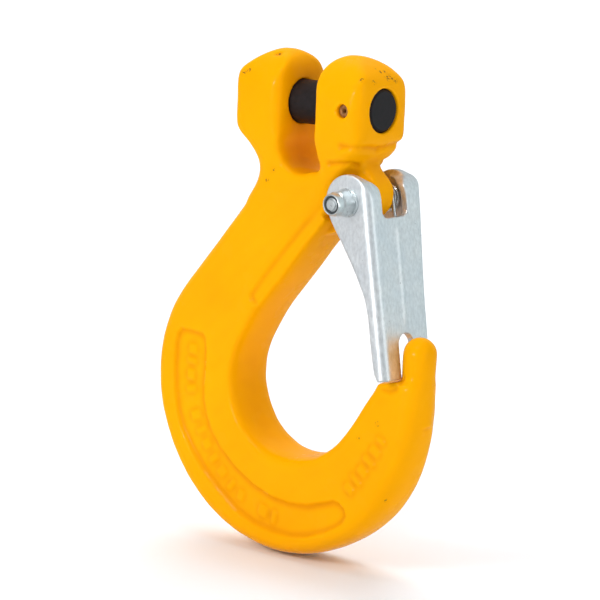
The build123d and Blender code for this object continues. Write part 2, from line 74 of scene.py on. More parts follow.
# latch
PIVOT_X, PIVOT_Z = 21.1, -26.1
PIVOT = np.array([PIVOT_X, 0.0, PIVOT_Z])
CHEEK_R = 8.1          # pivot to the outer face of the web
SHEET = 2.3
WIDTH_TOP = 11.6       # half width of the latch at the pivot
WEB_DOWN = np.array([0.159, 0.0, -0.9873])
WEB_OUT = np.array([-WEB_DOWN[2], 0.0, WEB_DOWN[0]])
WEB_START = PIVOT + WEB_OUT * CHEEK_R

# pivot bolt, washer and nut
WASHER_T = 0.8
NUT_H = 6.6
HEAD_H = 2.8
HALF_FLATS = 3.5       # axis to each flat of the bolt head and nut
THREAD_ROOT_R, THREAD_R, THREAD_PITCH = 1.62, 1.98, 0.7


# ---------------------------------------------------------------------------
# mesh helpers
# ---------------------------------------------------------------------------
def mesh_object(name, verts, faces):
    mesh = bpy.data.meshes.new(name)
    mesh.from_pydata([tuple(np.array(v, float) * MM) for v in verts], [], faces)
    mesh.validate()
    mesh.update()
    obj = bpy.data.objects.new(name, mesh)
    bpy.context.scene.collection.objects.link(obj)
    mesh.polygons.foreach_set("use_smooth", [True] * len(mesh.polygons))
    return obj


def get_points(mesh):
    flat = np.zeros(len(mesh.vertices) * 3)
    mesh.vertices.foreach_get("co", flat)
    return flat.reshape(-1, 3) * 1000.0


def set_points(mesh, pts):
    mesh.vertices.foreach_set("co", (pts * MM).astype(np.float32).ravel())
    mesh.update()


def get_edges(mesh):
    flat = np.zeros(len(mesh.edges) * 2, np.int64)
    mesh.edges.foreach_get("vertices", flat)
    return flat.reshape(-1, 2)


def get_normals(mesh):
    flat = np.zeros(len(mesh.vertices) * 3)
    mesh.vertices.foreach_get("normal", flat)
    return flat.reshape(-1, 3)


def neighbour_counts(edges, size):
    return np.maximum(np.bincount(edges.ravel(), minlength=size), 1)


def neighbour_mean(values, edges, counts):
    size = len(values)
    a, b = edges[:, 0], edges[:, 1]
    total = (np.bincount(a, weights=values[b], minlength=size)
             + np.bincount(b, weights=values[a], minlength=size))
    return total / counts


def relax(pts, edges, passes, weight=1.0):
    """Move each point half way to the mean of its neighbours, scaled by weight."""
    pull = np.full(len(pts), 0.5) * weight
    counts = neighbour_counts(edges, len(pts))
    for _ in range(passes):
        mean = np.stack([neighbour_mean(pts[:, k], edges, counts) for k in range(3)], 1)
        pts = pts + pull[:, None] * (mean - pts)
    return pts


def rise(values, start, end):
    """Smooth step from 0 at start to 1 at end"""
    t = np.clip((values - start) / (end - start), 0, 1)
    return t * t * (3 - 2 * t)


def fall(values, start, end):
    """Smooth step from 1 at start to 0 at end"""
    return 1 - rise(values, start, end)


def ball(pts, centre, inner, outer):
    """1 within the inner radius of centre, 0 beyond the outer"""
    return fall(np.linalg.norm(pts - np.array(centre, float), axis=1), inner, outer)


def remeshed(node, name, voxel):
    """A closed even-quad copy of a CAD node, to carry soft edges and pressed detail."""
    mesh = bpy.data.meshes.new(name)
    bm = bmesh.new()
    bm.from_mesh(nodes[node].data)
    bmesh.ops.remove_doubles(bm, verts=bm.verts, dist=2e-6)
    bm.to_mesh(mesh)
    bm.free()
    obj = bpy.data.objects.new(name, mesh)
    bpy.context.scene.collection.objects.link(obj)
    mod = obj.modifiers.new("even", "REMESH")
    mod.mode = "VOXEL"
    mod.voxel_size = voxel * MM
    mod.adaptivity = 0.0
    mod.use_smooth_shade = True
    graph = bpy.context.evaluated_depsgraph_get()
    even = bpy.data.meshes.new_from_object(obj.evaluated_get(graph), depsgraph=graph)
    obj.modifiers.clear()
    obj.data = even
    even.name = name
    bpy.data.meshes.remove(mesh)
    even.polygons.foreach_set("use_smooth", [True] * len(even.polygons))
    return obj


def ring_faces(count, seg, closed):
    """Quads between successive rings; a closed set joins last to first, an open one is capped."""
    faces = []
    for i in range(count if closed else count - 1):
        j = (i + 1) % count
        for k in range(seg):
            m = (k + 1) % seg
            faces.append((i * seg + k, i * seg + m, j * seg + m, j * seg + k))
    if not closed:
        faces.append(tuple(range(seg - 1, -1, -1)))
        faces.append(tuple((count - 1) * seg + k for k in range(seg)))
    return faces


def lathe(name, rings, seg, centre=(PIVOT_X, PIVOT_Z), closed=True, hex_turn=0.0):
    """Rings of (radius, y) about y. A third value cuts the ring to a hexagon of that half flats."""
    verts = []
    for radius, y, *flats in rings:
        for k in range(seg):
            a = 2 * math.pi * k / seg
            reach = radius
            if flats:
                off_flat = (a - hex_turn + math.pi / 6) % (math.pi / 3) - math.pi / 6
                reach = min(radius, flats[0] / math.cos(off_flat))
            verts.append((centre[0] + reach * math.cos(a), y, centre[1] + reach * math.sin(a)))
    obj = mesh_object(name, verts, ring_faces(len(rings), seg, closed))
    fix_normals(obj)
    return obj


def fix_normals(obj):
    bm = bmesh.new()
    bm.from_mesh(obj.data)
    bmesh.ops.recalc_face_normals(bm, faces=bm.faces)
    bm.to_mesh(obj.data)
    bm.free()


def sharp_by_angle(obj, degrees):
    """Edges sharper than this stay sharp under smooth shading."""
    bm = bmesh.new()
    bm.from_mesh(obj.data)
    limit = math.radians(degrees)
    for e in bm.edges:
        e.smooth = not (len(e.link_faces) == 2 and e.calc_face_angle(0) > limit)
    bm.to_mesh(obj.data)
    bm.free()


def store(mesh, name, values):
    layer = mesh.attributes.new(name, "FLOAT", "POINT")
    layer.data.foreach_set("value", np.asarray(values, np.float32))


def paint(obj, mat):
    obj.data.materials.clear()
    obj.data.materials.append(mat)


def hand_over(obj, mat, mover, cad_piece):
    paint(obj, mat)
    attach(obj, mover)
    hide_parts(cad_piece)


# ---------------------------------------------------------------------------
# materials: texture scales are per metre, bump distances in metres
# ---------------------------------------------------------------------------
class Finish:
    """A material built round one Principled shader with object coordinates"""
    SOCKETS = {"color": "Base Color", "metal": "Metallic", "rough": "Roughness",
               "normal": "Normal", "coat": "Coat Weight", "coat_rough": "Coat Roughness",
               "spec": "Specular IOR Level"}

    def __init__(self, name):
        self.mat = bpy.data.materials.new(name)
        self.mat.use_nodes = True
        self.tree = self.mat.node_tree
        self.tree.nodes.clear()
        out = self.new("ShaderNodeOutputMaterial")
        self.bsdf = self.new("ShaderNodeBsdfPrincipled")
        self.feed(out.inputs["Surface"], self.bsdf.outputs[0])
        self.coord = self.new("ShaderNodeTexCoord").outputs["Object"]

    def new(self, kind, **settings):
        node = self.tree.nodes.new(kind)
        for key, value in settings.items():
            setattr(node, key, value)
        return node

    def feed(self, socket, value):
        """Link a socket to another, or give it a plain value."""
        if isinstance(value, bpy.types.NodeSocket):
            self.tree.links.new(value, socket)
        else:
            socket.default_value = value

    def noise(self, scale, detail=2.0, rough=0.5, vec=None):
        node = self.new("ShaderNodeTexNoise")
        self.feed(node.inputs["Vector"], vec or self.coord)
        node.inputs["Scale"].default_value = scale
        node.inputs["Detail"].default_value = detail
        node.inputs["Roughness"].default_value = rough
        return node.outputs["Fac"]

    def cells(self, scale):
        node = self.new("ShaderNodeTexVoronoi")
        self.feed(node.inputs["Vector"], self.coord)
        node.inputs["Scale"].default_value = scale
        return node.outputs["Distance"]

    def stretched(self, scale):
        node = self.new("ShaderNodeMapping")
        self.feed(node.inputs["Vector"], self.coord)
        node.inputs["Scale"].default_value = scale
        return node.outputs["Vector"]

    def remap(self, value, span, to=(0.0, 1.0)):
        node = self.new("ShaderNodeMapRange")
        self.feed(node.inputs["Value"], value)
        for key, v in zip(("From Min", "From Max", "To Min", "To Max"), (*span, *to)):
            node.inputs[key].default_value = v
        return node.outputs["Result"]

    def math(self, operation, a, b):
        node = self.new("ShaderNodeMath", operation=operation)
        self.feed(node.inputs[0], a)
        self.feed(node.inputs[1], b)
        return node.outputs[0]

    def mix(self, fac, under, over):
        node = self.new("ShaderNodeMix", data_type="RGBA")
        self.feed(node.inputs[0], fac)
        for index, color in ((6, under), (7, over)):
            self.feed(node.inputs[index], (*color, 1) if isinstance(color, tuple) else color)
        return node.outputs[2]

    def bump(self, height, strength, dist, base=None):
        node = self.new("ShaderNodeBump")
        self.feed(node.inputs["Height"], height)
        node.inputs["Strength"].default_value = strength
        node.inputs["Distance"].default_value = dist
        if base is not None:
            self.feed(node.inputs["Normal"], base)
        return node.outputs["Normal"]

    def attribute(self, name):
        return self.new("ShaderNodeAttribute", attribute_name=name).outputs["Fac"]

    def surface(self, **values):
        for key, value in values.items():
            self.feed(self.bsdf.inputs[self.SOCKETS[key]], value)
        return self.mat


def yellow_paint():
    m = Finish("yellow_powder_coat_finish")
    tone = m.remap(m.noise(scale=38, detail=3), span=(0.3, 0.7))
    base = m.mix(tone, under=(0.90, 0.374, 0.0), over=(0.95, 0.408, 0.0))
    # painted shade: the colour goes a little deeper in the low spots and round the pads, standing
    # in for the shade that falls there
    low = m.attribute("painted_hollow_shade")
    base = m.mix(m.math("MULTIPLY", low, 0.60), base, over=(0.74, 0.235, 0.0))
    # placed chips and scattered specks
    chips = m.math("MULTIPLY", m.attribute("chip"),
                   m.remap(m.noise(scale=1500, detail=4, rough=0.65), span=(0.49, 0.56)))
    dust = m.noise(scale=900, rough=0.6)
    specks = m.remap(m.cells(scale=170), span=(0.045, 0.02))
    specks = m.math("MULTIPLY", specks,
                    m.remap(m.noise(scale=60), span=(0.62, 0.68), to=(0.0, 0.6)))
    marks = m.math("MAXIMUM", chips, specks)
    base = m.mix(marks, base, over=(0.10, 0.045, 0.015))
    rough = m.remap(m.noise(scale=120, detail=3), span=(0.3, 0.7), to=(0.20, 0.30))
    rough = m.math("ADD", rough, m.math("MULTIPLY", marks, 0.4))
    peel = m.noise(scale=620, rough=0.45)
    wave = m.noise(scale=150)
    normal = m.bump(peel, strength=0.5, dist=0.00006)
    normal = m.bump(wave, strength=0.5, dist=0.00022, base=normal)
    normal = m.bump(dust, strength=0.25, dist=0.000015, base=normal)
    return m.surface(color=base, rough=rough, normal=normal, coat=0.055, coat_rough=0.10,
                     spec=0.02)


def black_steel():
    m = Finish("black_pin_steel_finish")
    grain = m.noise(scale=700, detail=4, rough=0.6)
    base = m.mix(m.remap(grain, span=(0.3, 0.75)),
                 under=(0.007, 0.006, 0.007), over=(0.018, 0.014, 0.016))
    fine = m.noise(scale=2400, rough=0.6, vec=m.stretched(scale=(1, 1, 1)))
    rough = m.remap(grain, span=(0.2, 0.8), to=(0.38, 0.62))
    normal = m.bump(m.noise(scale=900, detail=4, rough=0.6), strength=0.5, dist=0.00005)
    normal = m.bump(fine, strength=0.3, dist=0.00002, base=normal)
    return m.surface(color=base, metal=0.0, rough=rough, normal=normal, spec=0.20)


def grained(name, scale, detail, span, dark, light, rough, strength, dist, **surface):
    """A finish whose colour, roughness and relief all follow one noise"""
    m = Finish(name)
    grain = m.noise(scale=scale, detail=detail, rough=0.6)
    return m.surface(color=m.mix(m.remap(grain, span=span), under=dark, over=light),
                     rough=m.remap(grain, span=(0.2, 0.8), to=rough),
                     normal=m.bump(grain, strength=strength, dist=dist), **surface)


def zinc(name, grain_scale, rough, tint=(0.78, 0.80, 0.81)):
    m = Finish(name)
    fine = m.noise(scale=700, detail=3, rough=0.6, vec=m.stretched(scale=grain_scale))
    blotch = m.noise(scale=90, detail=4, rough=0.6)
    spangle = m.noise(scale=420)
    base = m.mix(m.remap(fine, span=(0.3, 0.7)), under=tuple(c * 0.88 for c in tint),
                 over=tuple(min(1.0, c * 1.12) for c in tint))
    base = m.mix(m.remap(blotch, span=(0.35, 0.7), to=(0.0, 0.35)), base,
                 over=(0.62, 0.71, 0.78))
    streaks = m.noise(scale=260, detail=3, rough=0.75, vec=m.stretched(scale=(9, 9, 0.5)))
    scratches = m.remap(streaks, span=(0.66, 0.74), to=(0.0, 0.5))
    base = m.mix(scratches, base, over=(0.50, 0.54, 0.57))
    pits = m.math("MULTIPLY", m.remap(m.cells(scale=420), span=(0.10, 0.04)),
                  m.remap(m.noise(scale=140), span=(0.52, 0.62), to=(0.0, 0.75)))
    base = m.mix(pits, base, over=(0.16, 0.17, 0.18))
    roughness = m.remap(fine, span=(0.25, 0.75), to=rough)
    roughness = m.math("ADD", roughness, m.math("MULTIPLY", pits, 0.3))
    normal = m.bump(fine, strength=0.5, dist=0.00003)
    normal = m.bump(spangle, strength=0.45, dist=0.00005, base=normal)
    return m.surface(color=base, metal=0.92, rough=roughness, normal=normal, spec=0.5)


def floor_paint():
    m = Finish("floor_finish")
    base = m.mix(m.remap(m.noise(scale=6), span=(0.3, 0.7)),
                 under=(0.88, 0.895, 0.92), over=(0.90, 0.915, 0.94))
    return m.surface(color=base, rough=0.9, spec=0.1)


YELLOW = yellow_paint()
BLACK = black_steel()
SPRING_PIN = grained("spring_steel_finish", scale=1200, detail=4, span=(0.35, 0.7),
                     dark=(0.20, 0.075, 0.012), light=(0.42, 0.19, 0.045),
                     rough=(0.4, 0.65), strength=0.5, dist=0.00003, metal=0.15, spec=0.5)
ZINC = zinc("zinc_plate_finish", grain_scale=(1.6, 1.6, 0.9), rough=(0.40, 0.55))
FASTENER = zinc("zinc_fastener_finish", grain_scale=(1.0, 1.0, 1.0), rough=(0.24, 0.38),
                tint=(0.72, 0.76, 0.76))
WIRE = grained("spring_wire_finish", scale=1800, detail=3, span=(0.3, 0.7),
               dark=(0.52, 0.54, 0.55), light=(0.74, 0.76, 0.77),
               rough=(0.22, 0.36), strength=0.3, dist=0.00002, metal=1.0)
NYLON = grained("nylon_finish", scale=900, detail=3, span=(0.3, 0.7),
                dark=(0.022, 0.028, 0.030), light=(0.045, 0.055, 0.058),
                rough=(0.42, 0.58), strength=0.3, dist=0.00002, metal=0.0, spec=0.4)


# ---------------------------------------------------------------------------
# hook forging
# ---------------------------------------------------------------------------
HOOK_VOXEL = 0.4
PASS_SCALE = (0.45 / HOOK_VOXEL) ** 2   # smoothing passes are tuned for 0.45 mm voxels
OFF_FACE = 9.0                          # outline distance given to points off the faces
BOWL_Y = 9.0                            # half thickness of the bowl
RECESS_Y, RECESS_DEPTH = 9.3, 0.85

# outlines on the bowl and shank faces: x, z
PANEL_CAD = [
    (-44.9, -73.1), (-47.0, -80.0), (-47.2, -90.0), (-45.4, -101.0), (-40.6, -112.0),
    (-31.0, -122.0), (-16.0, -128.6), (0.0, -130.4), (13.0, -127.0), (20.4, -121.0),
    (21.2, -118.0), (18.4, -115.6), (7.0, -116.9), (-6.1, -115.2), (-18.5, -109.0),
    (-28.6, -99.8), (-34.2, -86.0), (-35.2, -76.6), (-36.2, -74.2), (-38.6, -73.3)]
PANEL = [
    (-44.7, -73.0), (-40.0, -73.0), (-36.0, -73.5), (-34.9, -74.8), (-34.5, -78.5),
    (-34.6, -84.6), (-35.0, -89.3), (-34.7, -94.0), (-33.3, -99.0), (-30.8, -103.6),
    (-27.0, -108.0), (-21.3, -112.5), (-14.1, -116.5), (-6.8, -118.9), (0.2, -119.6),
    (7.1, -119.0), (13.9, -117.0), (17.6, -115.7), (19.7, -116.1), (21.7, -117.6),
    (22.4, -119.8), (21.0, -122.2), (18.2, -124.2), (14.3, -126.4), (7.6, -128.9),
    (0.7, -130.2), (-6.4, -130.0), (-13.6, -128.9), (-20.8, -126.2), (-28.2, -121.2),
    (-34.6, -115.9), (-39.6, -110.3), (-43.6, -104.5), (-46.0, -98.4), (-47.1, -92.1),
    (-47.6, -84.8), (-47.3, -78.3), (-46.4, -74.6)]
RECESS = [
    (9.0, -27.0), (4.8, -31.9), (0.4, -36.9), (-6.2, -44.6), (-13.0, -52.8), (-17.3, -58.4),
    (-17.0, -60.4), (-13.9, -62.9), (-9.0, -66.5), (20.0, -66.5), (40.0, -60.0), (40.0, -27.0)]

# ear corners: x of the face, its way out along x, corner radius, whether only on the front
EAR_CORNERS = [
    (EAR_X, 1, 4.6, True), (EAR_X, 1, 1.6, False), (-EAR_X, -1, 1.2, True),
    (-SLOT_X, 1, 4.4, True), (SLOT_X, -1, 2.0, True)]

# raised pads in the crescent panel: x, z, half length, half width
PANEL_PADS = [
    (-40.3, -78.8, 1.5, 1.7), (-40.6, -82.6, 0.8, 2.0), (-40.8, -87.0, 1.6, 1.6),
    (-40.6, -91.4, 1.0, 1.9), (-38.3, -99.3, 1.5, 2.0), (-36.0, -103.6, 0.9, 2.1),
    (-33.6, -107.6, 1.5, 1.7), (-30.7, -111.5, 1.0, 2.0), (-27.3, -115.2, 1.5, 1.8),
    (-23.4, -118.7, 0.9, 2.1), (-19.4, -121.2, 1.3, 1.8), (-10.4, -124.3, 1.7, 1.8),
    (-5.9, -125.4, 0.9, 2.0)]
# raised pads on the tip: the line they follow (x, z), then half length, half width of each
TIP_LINE = [(23.6, -111.0), (26.6, -107.0), (29.4, -103.0), (31.9, -98.8), (34.0, -94.8)]
TIP_PADS = [(1.2, 1.9), (0.8, 2.3), (1.4, 1.8), (0.9, 2.4), (1.3, 2.0), (0.8, 1.6)]
PAD_SOFT = 0.45                         # half width of the slope round a pad

# grooves: points (x, y, z), width, depth
GROOVES = [
    # two folds under the right ear
    ([(17.4, -11.2, -10.3), (21.4, -10.6, -10.3), (23.4, -8.6, -10.5), (23.4, -4.6, -10.8),
      (22.9, -0.6, -11.4)], 1.2, 0.80),
    ([(12.6, -9.9, -15.9), (16.5, -9.6, -15.5), (19.4, -8.6, -15.6), (19.8, -5.8, -16.2)],
     1.05, 0.75),
    # shallow line round the top of the tip
    ([(33.0, -6.8, -79.9), (35.6, -6.8, -80.2), (37.8, -6.7, -79.2), (38.9, -6.0, -77.4),
      (39.0, -5.0, -75.6)], 0.6, 0.30),
    # sunk mark on the left crown
    ([(-12.7, -5.2, 13.8), (-12.3, -5.0, 13.9)], 1.1, 0.55)]

# chips in the paint: x, y, z, radius
CHIPS = [
    (-12.6, -5.0, 13.6, 1.1), (-21.0, -10.5, 7.8, 1.1), (-19.4, -10.2, 8.6, 1.0),
    (22.6, -8.9, 9.5, 1.1), (23.8, -4.6, 8.6, 1.0), (22.0, 0.2, 11.2, 0.9),
    (22.2, 2.2, 11.0, 1.0), (23.4, 1.8, 9.4, 1.3), (23.3, 3.8, 9.7, 1.3),
    (23.8, 5.0, 8.6, 1.1), (20.7, -0.6, 12.3, 0.8), (-9.4, -9.3, -20.2, 0.8),
    (-11.8, -9.2, -23.4, 0.9), (32.2, -7.9, -90.1, 1.1), (35.5, -6.0, -112.7, 0.9),
    (-21.8, -10.5, -9.8, 0.7), (25.8, -8.3, -95.4, 0.7)]


def scaled_passes(count):
    return max(1, int(count * PASS_SCALE))


def along_curve(points, count):
    """Evenly spaced points and unit tangents on a Catmull-Rom curve through points (x, z)"""
    knots = np.array(points, float)
    ext = np.vstack([2 * knots[0] - knots[1], knots, 2 * knots[-1] - knots[-2]])
    dense = []
    for i in range(1, len(ext) - 2):
        a, b, c, d = ext[i - 1:i + 3]
        for t in np.linspace(0, 1, 60, endpoint=False):
            dense.append(0.5 * (2 * b + (c - a) * t + (2 * a - 5 * b + 4 * c - d) * t ** 2
                                + (3 * b - a - 3 * c + d) * t ** 3))
    dense.append(knots[-1])
    dense = np.array(dense)
    steps = np.linalg.norm(np.diff(dense, axis=0), axis=1)
    length = np.concatenate([[0], np.cumsum(steps)])
    even = np.linspace(0, length[-1], count)
    out = np.stack([np.interp(even, length, dense[:, k]) for k in range(2)], 1)
    tangents = np.gradient(out, axis=0)
    tangents /= np.linalg.norm(tangents, axis=1)[:, None]
    return out, tangents


def pad(pts, centre, tangent, half_len, half_wid, corner):
    """Height 0..1 of a rounded pad, from x and z alone"""
    dx, dz = pts[:, 0] - centre[0], pts[:, 2] - centre[1]
    u = np.abs(dx * tangent[0] + dz * tangent[1]) - (half_len - corner)
    v = np.abs(-dx * tangent[1] + dz * tangent[0]) - (half_wid - corner)
    dist = (np.hypot(np.maximum(u, 0), np.maximum(v, 0)) + np.minimum(np.maximum(u, v), 0)
            - corner)
    return fall(dist, -PAD_SOFT, PAD_SOFT)


def groove(pts, line, width):
    """1 on a polyline, falling off with the given width"""
    out = np.zeros(len(pts))
    for start, end in zip(line[:-1], line[1:]):
        start, end = np.array(start, float), np.array(end, float)
        run = end - start
        t = np.clip((pts - start) @ run / (run @ run), 0, 1)
        dist = np.linalg.norm(pts - (start + t[:, None] * run), axis=1)
        out = np.maximum(out, np.exp(-(dist / width) ** 2))
    return out


def outline_distance(px, pz, outline):
    """Signed distance to a closed outline in x and z, negative inside"""
    outline = np.array(outline, float)
    best = np.full(len(px), 1e9)
    inside = np.zeros(len(px), bool)
    for (ax, az), (bx, bz) in zip(outline, np.roll(outline, -1, axis=0)):
        ex, ez = bx - ax, bz - az
        t = np.clip(((px - ax) * ex + (pz - az) * ez) / (ex * ex + ez * ez), 0, 1)
        best = np.minimum(best, np.hypot(px - ax - t * ex, pz - az - t * ez))
        cross = (az > pz) != (bz > pz)
        inside ^= cross & (px < (bx - ax) * (pz - az) / (bz - az + 1e-12) + ax)
    return np.where(inside, -best, best)


def face_distance(pts, face, outline):
    """Outline distance for the points of a face, OFF_FACE for all others"""
    dist = np.full(len(pts), OFF_FACE)
    dist[face] = outline_distance(pts[face, 0], pts[face, 2], outline)
    return dist


def round_corner(pts, corner_x, way, radius, weight):
    """Pull points outside the rounding of the corners at (corner_x, +-EAR_Y) onto it"""
    dx = (pts[:, 0] - corner_x) * way + radius
    dy = np.abs(pts[:, 1]) - EAR_Y + radius
    reach = np.hypot(dx, dy)
    hit = (dx > 0) & (dy > 0) & (reach > radius) & (dx < radius + 0.6)
    shrink = np.where(hit, radius / np.maximum(reach, 1e-6), 1.0)
    shrink = 1 + (shrink - 1) * weight
    out = pts.copy()
    out[:, 0] = np.where(hit, corner_x + ((dx * shrink) - radius) * way, pts[:, 0])
    out[:, 1] = np.where(hit, np.sign(pts[:, 1]) * (dy * shrink + EAR_Y - radius), pts[:, 1])
    return out


def bore_mask(pts):
    """1 round every bore of the hook"""
    return np.maximum.reduce([
        ball(pts, (-EAR_X, 0, 0), inner=8.0, outer=9.5),
        ball(pts, (EAR_X, 0, 0), inner=8.0, outer=9.5),
        ball(pts, (CROSS_PIN_X, -11.0, 0), inner=3.0, outer=4.2),
        ball(pts, (CROSS_PIN_X, 11.0, 0), inner=3.0, outer=4.2),
        ball(pts, PIVOT, inner=6.5, outer=8.0)])


def head_rim_mask(pts):
    """1 at the rims of the load pin and cross pin bores in the ears"""
    x, y, z = pts.T
    rims = np.maximum(ball(pts, (CROSS_PIN_X, -11.0, 0), inner=3.2, outer=5.0),
                      ball(pts, (CROSS_PIN_X, 11.0, 0), inner=3.2, outer=5.0))
    radial = np.hypot(y, z)
    for face_x in (-EAR_X, EAR_X, -SLOT_X, SLOT_X):
        rims = np.maximum(rims, fall(radial, 7.2, 8.6) * fall(np.abs(x - face_x), 2.0, 3.5))
    return rims


def soften_ears(pts, edges, bores):
    """Level the bowl faces, round the ear corners and lightly soften every edge."""
    x, y, z = pts.T
    # bowl faces brought flush, so that the panels can be pressed in again
    face = (np.abs(y) > 8.1) & (np.abs(y) < BOWL_Y) & (z < -70)
    near = face_distance(pts, face, PANEL_CAD) < 0.7
    pts[near, 1] = np.sign(pts[near, 1]) * BOWL_Y
    above_neck = rise(z, -11.5, -8.0)
    for corner_x, way, radius, front_only in EAR_CORNERS:
        side = (y < 0) | (not front_only)
        pts = round_corner(pts, corner_x, way, radius, above_neck * side)
    return relax(pts, edges, scaled_passes(8), 1 - 0.8 * bores)


def press_panels(pts, edges):
    """Crescent panels of the bowl, deeper along the bottom"""
    x, y, z = pts.T
    face = (np.abs(y) > 7.6) & (z < -70) & (z > -134)
    dist = face_distance(pts, face, PANEL)
    depth = 0.90 + 0.35 * fall(z, -118, -100)
    pts[:, 1] -= np.sign(y) * fall(dist, -0.75, 0.55) * depth
    return relax(pts, edges, scaled_passes(2), (np.abs(dist) < 1.6).astype(float))


def press_recess(pts, edges):
    """Relief the latch cheeks pass, with a clear step along the shank"""
    x, y, z = pts.T
    face = (np.abs(y) > 7.8) & (z < -28) & (z > -68) & (np.abs(y) < 9.6)
    dist = face_distance(pts, face, RECESS)
    limit = RECESS_Y - RECESS_DEPTH * fall(dist, -0.7, 0.6)
    pts[:, 1] = np.where(face, np.sign(y) * np.minimum(np.abs(y), limit), y)
    return relax(pts, edges, scaled_passes(2), (np.abs(dist) < 1.6).astype(float))


def soften_forging(pts, edges):
    """Broad soft shapes of the head, then the fillets, then the foot of the tip"""
    head = rise(pts[:, 2], -24, -17)
    head *= 1 - ball(pts, PIVOT, inner=6.0, outer=9.5)
    clear_of_rims = 1 - head_rim_mask(pts)
    pts = relax(pts, edges, scaled_passes(46), head * clear_of_rims)
    # fillets where the neck runs into the shank, and faintly along the recess steps
    x, y, z = pts.T
    crease = rise(z, -36, -28) * fall(z, -20, -16) * fall(x, 9, 13)
    crease = np.maximum(crease, 0.10 * rise(z, -66, -60) * fall(z, -30, -24) * fall(x, 4, 9))
    crease *= 1 - ball(pts, PIVOT, inner=6.0, outer=8.5)
    pts = relax(pts, edges, scaled_passes(18), crease * clear_of_rims)
    # finger runs smoothly into the tip
    x, y, z = pts.T
    foot = rise(x, 38.2, 40.0) * rise(z, -86, -81) * fall(z, -76.5, -72.5)
    return relax(pts, edges, scaled_passes(60), foot)


def pad_height(pts, normals):
    """Height of the raised plain pads in the crescent panels and on the tip"""
    panel_row = np.zeros(len(pts))
    line, _ = along_curve([row[:2] for row in PANEL_PADS], 120)
    for i, (px, pz, half_len, half_wid) in enumerate(PANEL_PADS):
        j = int(np.argmin(np.hypot(line[:, 0] - px, line[:, 1] - pz)))
        tangent = line[min(j + 2, len(line) - 1)] - line[max(j - 2, 0)]
        tangent = tangent / np.hypot(*tangent)
        share = 0.8 + 0.2 * ((i * 7) % 5) / 4    # pads stand out unevenly
        shape = pad(pts, (px, pz), tangent, half_len, half_wid, corner=0.75)
        panel_row = np.maximum(panel_row, share * shape)
    tip_row = np.zeros(len(pts))
    for centre, tangent, size in zip(*along_curve(TIP_LINE, len(TIP_PADS)), TIP_PADS):
        tip_row = np.maximum(tip_row, pad(pts, centre, tangent, *size, corner=0.7))
    flat = rise(np.abs(normals[:, 1]), 0.80, 0.95)
    return (0.36 * panel_row + 0.34 * tip_row) * flat


def undulation(pts):
    """Hammer-scale waviness of the forging"""
    x, y, z = pts.T
    return 0.03 * (np.sin(0.41 * x + 1.3) * np.sin(0.37 * z + 0.4 * y)
                   + 0.6 * np.sin(0.83 * z - 0.7 * x + 0.5 * y))


def cut_grooves(pts, normals):
    for line, width, depth in GROOVES:
        pts = pts - normals * (depth * groove(pts, line, width))[:, None]
        if line[0][0] > 0:    # those at +x repeat on the back
            back = [(x, -y, z) for x, y, z in line]
            pts = pts - normals * (depth * groove(pts, back, width))[:, None]
    return pts


def chip_mask(pts):
    chip = np.zeros(len(pts))
    for *centre, radius in CHIPS:
        chip = np.maximum(chip, ball(pts, centre, inner=radius * 0.3, outer=radius))
    return chip


def hollow_shade_weight(pts, edges, normals):
    """How hollow each point is, 0..1, for the painted shade in the low spots"""
    sunk = relax(pts, edges, 14) - pts
    painted_hollow_shade = np.clip(np.einsum("ij,ij->i", sunk, normals) / 0.09, 0, 1)
    counts = neighbour_counts(edges, len(pts))
    for _ in range(3):
        painted_hollow_shade = 0.5 * painted_hollow_shade + 0.5 * neighbour_mean(painted_hollow_shade, edges, counts)
    return painted_hollow_shade


def build_hook():
    obj = remeshed("hook_body", "hook_forging", HOOK_VOXEL)
    mesh = obj.data
    pts = get_points(mesh)
    edges = get_edges(mesh)
    bores = bore_mask(pts)
    pts = soften_ears(pts, edges, bores)
    pts = press_panels(pts, edges)
    pts = press_recess(pts, edges)
    pts = soften_forging(pts, edges)
    set_points(mesh, pts)
    normals = get_normals(mesh)
    pts = pts + normals * pad_height(pts, normals)[:, None]
    waves = undulation(pts) * (1 - bores)
    pts = cut_grooves(pts, normals)
    pts = pts + normals * waves[:, None]
    set_points(mesh, pts)
    store(mesh, "chip", chip_mask(pts))
    # painted shade: how hollow each point is, which darkens the paint there
    store(mesh, "painted_hollow_shade", hollow_shade_weight(pts, edges, normals))
    hand_over(obj, YELLOW, "hook", "hook_body")


# ---------------------------------------------------------------------------
# latch, bolt and nut
# ---------------------------------------------------------------------------
def web_coords(pts):
    """Distances down the web and out from its outer face"""
    rel = pts - WEB_START
    down = rel[:, 0] * WEB_DOWN[0] + rel[:, 2] * WEB_DOWN[2]
    out = rel[:, 0] * WEB_OUT[0] + rel[:, 2] * WEB_OUT[2]
    return down, out


def build_latch():
    obj = remeshed("latch_plate", "latch_channel", 0.24)
    mesh = obj.data
    pts = relax(get_points(mesh), get_edges(mesh), 5)
    y = pts[:, 1]    # a view, so it follows the changes to pts
    # the back of the channel stands out a little at its fold, most of all at the top
    down, out = web_coords(pts)
    pts[:, 1] += rise(out, -4.6, -0.6) * rise(y, 6.0, 11.0) * (0.6 + 1.5 * fall(down, -8, 34))
    # floor of the top notch, moved up
    lift = (1.7 * rise(down, 0.5, 6.5) * fall(down, 7.6, 16.0) * rise(out, -3.4, -2.6)
            * fall(np.abs(y), 7.5, 9.5))
    pts -= lift[:, None] * WEB_DOWN
    # pressed rib down the middle of the web
    down, out = web_coords(pts)
    rib = np.exp(-((y - 0.4) / 0.85) ** 2) * rise(down, 5.0, 10.0) * fall(down, 34.5, 38.0)
    on_web = rise(out, -3.2, -2.6)
    pts = pts + rib[:, None] * WEB_OUT * (0.36 * on_web)[:, None]
    set_points(mesh, pts)
    hand_over(obj, ZINC, "latch", "latch_plate")


